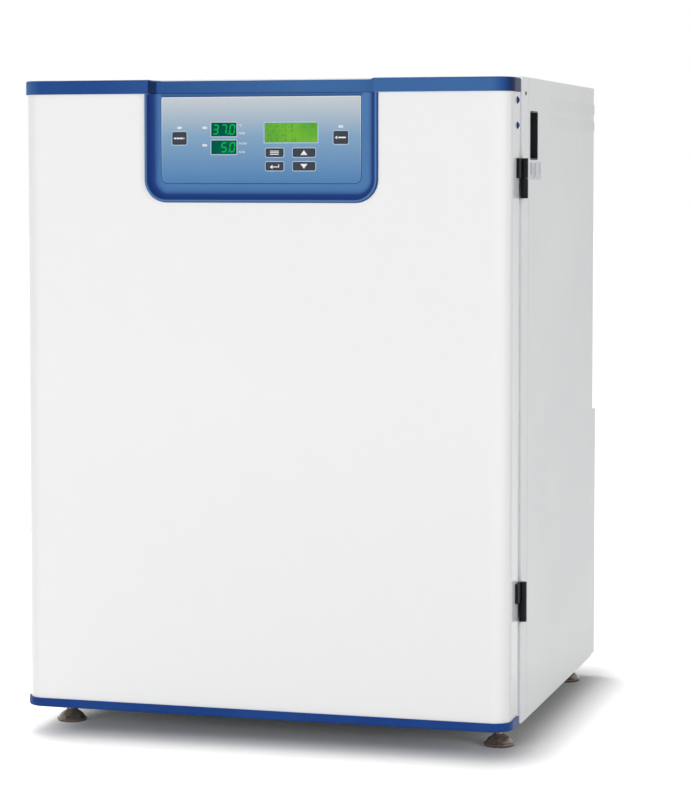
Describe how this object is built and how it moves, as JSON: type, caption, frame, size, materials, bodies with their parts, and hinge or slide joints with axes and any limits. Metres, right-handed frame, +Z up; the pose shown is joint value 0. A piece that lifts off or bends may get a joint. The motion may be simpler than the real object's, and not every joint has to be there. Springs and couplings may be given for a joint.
{
  "type": "carbon dioxide incubator",
  "caption": "Bench carbon dioxide incubator: insulated door with a dished control console, glass inner door, steel chamber with shelves and water pan, louvred casing on levelling feet.",
  "frame": {"origin": "on the floor, under the middle of the cabinet's width and of the overall depth", "axes": "+X to the right seen from the front, +Y to the back, +Z up; the door faces -Y"},
  "size_m": [0.6698, 0.598, 0.866],
  "materials": {
    "door_paint": "smooth gloss powder coat",
    "casing_paint": "smooth satin powder coat",
    "band_plastic": "moulded, satin",
    "bezel_plastic": "moulded, satin",
    "membrane_film": "printed polyester film",
    "display_window": "tinted window with lit segments",
    "lcd_window": "backlit liquid crystal window",
    "lamp_lens": "clear tinted lens",
    "key_plastic": "moulded",
    "circuit_board": "lacquered laminate",
    "foam": "bonded mineral wool slab",
    "inner_panel_plastic": "vacuum formed",
    "seal_rubber": "extruded, matt",
    "seal_silicone": "translucent silicone",
    "cap_plastic": "domed plug",
    "hinge_black": "black satin",
    "chassis_zinc": "zinc coated sheet",
    "stainless": "brushed stainless sheet",
    "wheel_plastic": "moulded blower wheel",
    "motor_metal": "cast housing, satin",
    "filter_media": "pleated fibre with moulded caps",
    "heater_silicone": "silicone heater mat",
    "toughened_glass": "clear, polished edge",
    "black_plastic": "moulded, fine texture",
    "port_plastic": "turned white plastic",
    "screw_steel": "plated",
    "inlet_brass": "nickel-free brass",
    "foot_metal": "dark bronze finish with copper-coloured stem"
  },
  "bodies": {
    "cabinet": {"front_frame": "casing_paint", "left_side_panel": "casing_paint", "right_side_panel": "casing_paint", "top_panel": "casing_paint", "base_pan": "chassis_zinc", "rear_panel": "casing_paint", "rear_lower_cover": "casing_paint", "insulation": "foam", "chamber_liner": "stainless", "heating_pads": "heater_silicone", "chamber_gasket": "seal_silicone", "shelf_racks": "stainless", "air_duct": "stainless", "air_filter": "filter_media", "blower_motor": "motor_metal", "chamber_sensors": "stainless", "access_port": "port_plastic", "power_inlet": "black_plastic", "gas_inlet": "inlet_brass", "switch_pocket": "black_plastic", "electronics_tray": "chassis_zinc", "power_board": "circuit_board", "glass_door_brackets": "stainless", "hinge_cabinet_leaves": "hinge_black", "cabinet_screws": "screw_steel"},
    "door": {"door_skin": "door_paint", "door_top_cap": "band_plastic", "door_bottom_cap": "band_plastic", "console_bezel": "bezel_plastic", "console_membrane": "membrane_film", "led_displays": "display_window", "lcd_display": "lcd_window", "indicator_lamps": "lamp_lens", "display_board": "circuit_board", "door_insulation": "foam", "door_inner_panel": "inner_panel_plastic", "door_gasket": "seal_rubber", "door_side_caps": "cap_plastic", "hinge_door_leaves": "hinge_black"},
    "left_key": {"left_key": "key_plastic"},
    "right_key": {"right_key": "key_plastic"},
    "menu_key": {"menu_key": "key_plastic"},
    "enter_key": {"enter_key": "key_plastic"},
    "up_key": {"up_key": "key_plastic"},
    "down_key": {"down_key": "key_plastic"},
    "glass_door": {"glass_pane": "toughened_glass", "glass_hinge_leaves": "stainless"},
    "glass_latch": {"latch_knob": "black_plastic"},
    "shelf_1": {"shelf_1": "stainless"},
    "shelf_2": {"shelf_2": "stainless"},
    "shelf_3": {"shelf_3": "stainless"},
    "water_pan": {"water_pan": "stainless"},
    "blower": {"blower_wheel": "wheel_plastic", "blower_shaft": "stainless"},
    "mains_rocker": {"mains_rocker": "black_plastic"},
    "port_stopper": {"port_stopper": "seal_silicone"},
    "foot_1": {"foot_1": "foot_metal"},
    "foot_2": {"foot_2": "foot_metal"},
    "foot_3": {"foot_3": "foot_metal"},
    "foot_4": {"foot_4": "foot_metal"}
  },
  "joints": [
    {"name": "door_hinge", "type": "hinge", "parent": "cabinet", "child": "door", "pos_m": [0.333, -0.234, 0.45], "axis": [0, 0, 1], "range_deg": [0, 110]},
    {"name": "glass_hinge", "type": "hinge", "parent": "cabinet", "child": "glass_door", "pos_m": [0.273, -0.231, 0.426], "axis": [0, 0, 1], "range_deg": [0, 110]},
    {"name": "latch_turn", "type": "hinge", "parent": "glass_door", "child": "glass_latch", "pos_m": [-0.245, -0.225, 0.426], "axis": [0, -1, 0], "range_deg": [0, 90]},
    {"name": "shelf_1_slide", "type": "slide", "parent": "cabinet", "child": "shelf_1", "axis": [0, -1, 0], "range_m": [0, 0.15]},
    {"name": "shelf_2_slide", "type": "slide", "parent": "cabinet", "child": "shelf_2", "axis": [0, -1, 0], "range_m": [0, 0.15]},
    {"name": "shelf_3_slide", "type": "slide", "parent": "cabinet", "child": "shelf_3", "axis": [0, -1, 0], "range_m": [0, 0.15]},
    {"name": "water_pan_slide", "type": "slide", "parent": "cabinet", "child": "water_pan", "axis": [0, -1, 0], "range_m": [0, 0.15]},
    {"name": "left_key_press", "type": "slide", "parent": "door", "child": "left_key", "axis": [0, 1, 0], "range_m": [0, 0.0008], "stiffness_N_per_m": 2000},
    {"name": "right_key_press", "type": "slide", "parent": "door", "child": "right_key", "axis": [0, 1, 0], "range_m": [0, 0.0008], "stiffness_N_per_m": 2000},
    {"name": "menu_key_press", "type": "slide", "parent": "door", "child": "menu_key", "axis": [0, 1, 0], "range_m": [0, 0.0008], "stiffness_N_per_m": 2000},
    {"name": "enter_key_press", "type": "slide", "parent": "door", "child": "enter_key", "axis": [0, 1, 0], "range_m": [0, 0.0008], "stiffness_N_per_m": 2000},
    {"name": "up_key_press", "type": "slide", "parent": "door", "child": "up_key", "axis": [0, 1, 0], "range_m": [0, 0.0008], "stiffness_N_per_m": 2000},
    {"name": "down_key_press", "type": "slide", "parent": "door", "child": "down_key", "axis": [0, 1, 0], "range_m": [0, 0.0008], "stiffness_N_per_m": 2000},
    {"name": "blower_spin", "type": "hinge", "parent": "cabinet", "child": "blower", "pos_m": [0, 0.101, 0.724], "axis": [0, 0, 1], "continuous": true},
    {"name": "mains_switch", "type": "hinge", "parent": "cabinet", "child": "mains_rocker", "pos_m": [0.3105, -0.159, 0.79175], "axis": [0, 1, 0], "range_deg": [0, 16]},
    {"name": "stopper_pull", "type": "slide", "parent": "cabinet", "child": "port_stopper", "axis": [0, 1, 0], "range_m": [0, 0.045]},
    {"name": "foot_1_level", "type": "slide", "parent": "cabinet", "child": "foot_1", "axis": [0, 0, 1], "range_m": [0, 0.012]},
    {"name": "foot_2_level", "type": "slide", "parent": "cabinet", "child": "foot_2", "axis": [0, 0, 1], "range_m": [0, 0.012]},
    {"name": "foot_3_level", "type": "slide", "parent": "cabinet", "child": "foot_3", "axis": [0, 0, 1], "range_m": [0, 0.012]},
    {"name": "foot_4_level", "type": "slide", "parent": "cabinet", "child": "foot_4", "axis": [0, 0, 1], "range_m": [0, 0.012]}
  ],
  "couplings": [
    {"joint": "glass_hinge", "follows": "door_hinge", "ratio": 1},
    {"joint": "shelf_1_slide", "follows": "door_hinge", "m_per_rad": 0.0781},
    {"joint": "shelf_2_slide", "follows": "door_hinge", "m_per_rad": 0.0781},
    {"joint": "shelf_3_slide", "follows": "door_hinge", "m_per_rad": 0.0781},
    {"joint": "water_pan_slide", "follows": "door_hinge", "m_per_rad": 0.0781}
  ]
}
